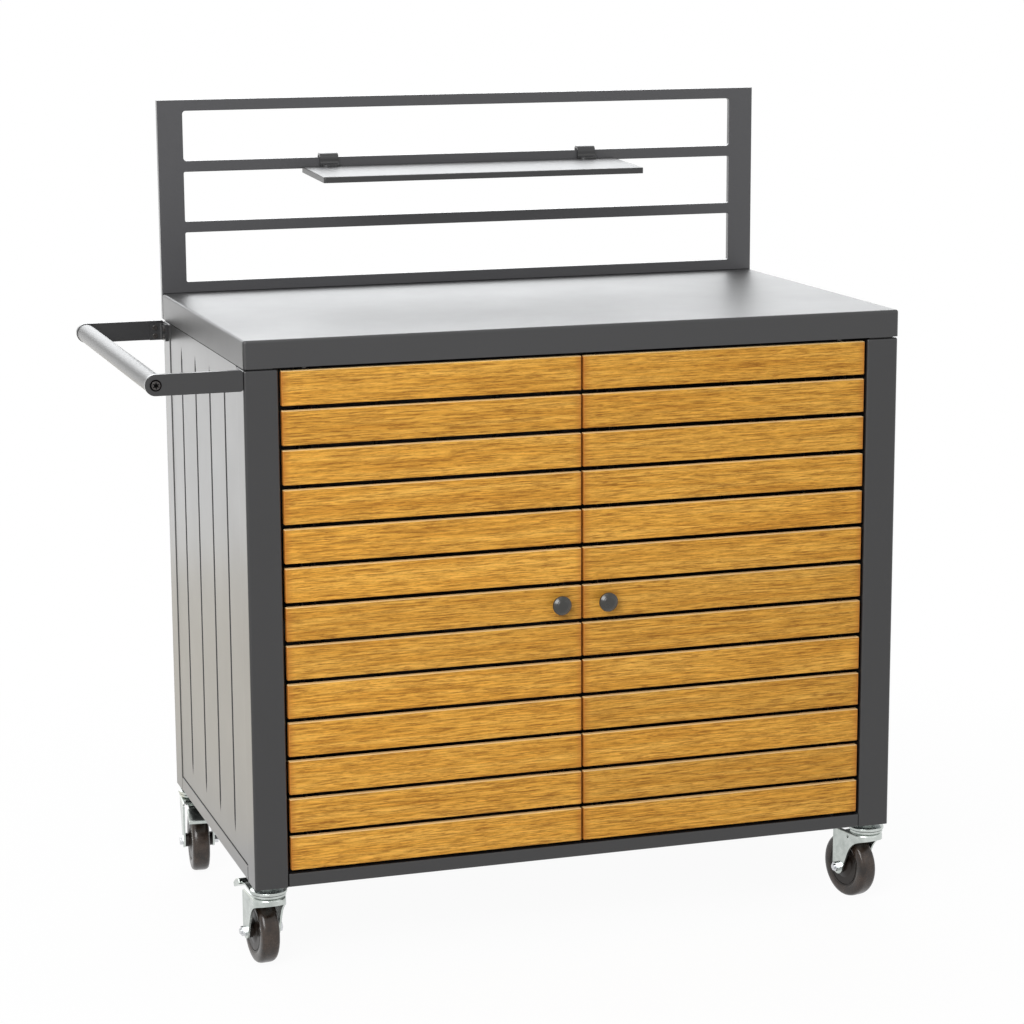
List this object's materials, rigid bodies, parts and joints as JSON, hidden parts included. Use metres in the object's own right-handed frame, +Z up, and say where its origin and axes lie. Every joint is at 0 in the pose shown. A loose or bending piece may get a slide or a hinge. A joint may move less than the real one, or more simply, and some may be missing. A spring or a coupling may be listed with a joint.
{
  "type": "grill cart with storage",
  "caption": "Rolling outdoor kitchen cart with a sheet steel worktop, a slatted two door cabinet, a back frame with a hanging shelf, a side handle and swivel casters.",
  "frame": {"origin": "on the floor under the middle of the whole cart, handle included", "axes": "+Z up, +X from the handle side to the right side, -Y out of the doors"},
  "size_m": [1.1424, 0.6112, 1.232],
  "materials": {
    "charcoal_coat": "satin charcoal powder coat on sheet steel",
    "plain_steel": "plain galvanised sheet under the worktop and in the legs",
    "slat_wood": "oiled hardwood with fine grain",
    "knob_coat": "turned metal with a semi-gloss charcoal coat",
    "bolt_steel": "bright plated fixings",
    "dark_steel": "blackened socket screws",
    "zinc": "bright zinc plated pressings",
    "wheel_plastic": "moulded nylon",
    "tyre_rubber": "solid rubber tread",
    "black_plastic": "fine moulded texture"
  },
  "bodies": {
    "cart": {"worktop": "charcoal_coat", "worktop_stiffeners": "plain_steel", "front_top_rail": "plain_steel", "rear_top_rail": "plain_steel", "leg_front_left": "charcoal_coat", "leg_front_right": "charcoal_coat", "leg_rear_left": "charcoal_coat", "leg_rear_right": "charcoal_coat", "leg_plates": "plain_steel", "floor_tray": "charcoal_coat", "side_bottom_rails": "charcoal_coat", "rear_bottom_rail": "charcoal_coat", "left_panel": "charcoal_coat", "right_panel": "charcoal_coat", "back_panel": "charcoal_coat", "middle_shelf": "charcoal_coat", "shelf_runners": "plain_steel", "hinge_bushes": "black_plastic", "door_catches": "black_plastic", "back_frame": "charcoal_coat", "back_frame_screws": "dark_steel", "handle_front_arm": "charcoal_coat", "handle_rear_arm": "charcoal_coat", "handle_tube": "charcoal_coat", "handle_end_fixings": "dark_steel", "handle_brackets": "charcoal_coat", "handle_bracket_screws": "dark_steel", "caster_cups": "zinc", "caster_stems": "zinc"},
    "left_door": {"left_door_slats": "slat_wood", "left_door_frame": "charcoal_coat", "left_hinge_pins": "bolt_steel", "left_knob": "knob_coat"},
    "right_door": {"right_door_slats": "slat_wood", "right_door_frame": "charcoal_coat", "right_hinge_pins": "bolt_steel", "right_knob": "knob_coat"},
    "small_shelf": {"hanging_shelf": "charcoal_coat", "shelf_hooks": "charcoal_coat"},
    "front_left_caster": {"front_left_fork": "zinc", "front_left_axle": "bolt_steel"},
    "front_left_wheel": {"front_left_hub": "wheel_plastic", "front_left_tyre": "tyre_rubber"},
    "front_left_brake": {"front_left_brake_lever": "zinc", "front_left_brake_pad": "black_plastic"},
    "front_right_caster": {"front_right_fork": "zinc", "front_right_axle": "bolt_steel"},
    "front_right_wheel": {"front_right_hub": "wheel_plastic", "front_right_tyre": "tyre_rubber"},
    "rear_left_caster": {"rear_left_fork": "zinc", "rear_left_axle": "bolt_steel"},
    "rear_left_wheel": {"rear_left_hub": "wheel_plastic", "rear_left_tyre": "tyre_rubber"},
    "rear_left_brake": {"rear_left_brake_lever": "zinc", "rear_left_brake_pad": "black_plastic"},
    "rear_right_caster": {"rear_right_fork": "zinc", "rear_right_axle": "bolt_steel"},
    "rear_right_wheel": {"rear_right_hub": "wheel_plastic", "rear_right_tyre": "tyre_rubber"}
  },
  "joints": [
    {"name": "left_door_hinge", "type": "hinge", "parent": "cart", "child": "left_door", "pos_m": [-0.34175, -0.27155, 0.52], "axis": [0, 0, -1], "range_deg": [0, 100]},
    {"name": "right_door_hinge", "type": "hinge", "parent": "cart", "child": "right_door", "pos_m": [0.47825, -0.27155, 0.52], "axis": [0, 0, 1], "range_deg": [0, 100]},
    {"name": "small_shelf_lift", "type": "slide", "parent": "cart", "child": "small_shelf", "axis": [0, 0, 1], "range_m": [0, 0.06]},
    {"name": "front_left_swivel", "type": "hinge", "parent": "cart", "child": "front_left_caster", "pos_m": [-0.40675, -0.26205, 0.118], "axis": [0, 0, 1], "continuous": true},
    {"name": "front_left_wheel_spin", "type": "hinge", "parent": "front_left_caster", "child": "front_left_wheel", "pos_m": [-0.40973, -0.22417, 0.05], "axis": [-0.9969, -0.0785, 0], "continuous": true},
    {"name": "front_left_brake_press", "type": "hinge", "parent": "front_left_caster", "child": "front_left_brake", "pos_m": [-0.40785, -0.24809, 0.1048], "axis": [-0.9969, -0.0785, 0], "range_deg": [0, 12]},
    {"name": "front_right_swivel", "type": "hinge", "parent": "cart", "child": "front_right_caster", "pos_m": [0.54325, -0.26205, 0.118], "axis": [0, 0, 1], "continuous": true},
    {"name": "front_right_wheel_spin", "type": "hinge", "parent": "front_right_caster", "child": "front_right_wheel", "pos_m": [0.53425, -0.22513, 0.05], "axis": [-0.9715, -0.2368, 0], "continuous": true},
    {"name": "rear_left_swivel", "type": "hinge", "parent": "cart", "child": "rear_left_caster", "pos_m": [-0.40675, 0.26495, 0.118], "axis": [0, 0, 1], "continuous": true},
    {"name": "rear_left_wheel_spin", "type": "hinge", "parent": "rear_left_caster", "child": "rear_left_wheel", "pos_m": [-0.41062, 0.22715, 0.05], "axis": [0.9948, -0.1019, 0], "continuous": true},
    {"name": "rear_left_brake_press", "type": "hinge", "parent": "rear_left_caster", "child": "rear_left_brake", "pos_m": [-0.40818, 0.25102, 0.1048], "axis": [0.9948, -0.1019, 0], "range_deg": [0, 12]},
    {"name": "rear_right_swivel", "type": "hinge", "parent": "cart", "child": "rear_right_caster", "pos_m": [0.54325, 0.26495, 0.118], "axis": [0, 0, 1], "continuous": true},
    {"name": "rear_right_wheel_spin", "type": "hinge", "parent": "rear_right_caster", "child": "rear_right_wheel", "pos_m": [0.53796, 0.22732, 0.05], "axis": [0.9903, -0.1392, 0], "continuous": true}
  ]
}
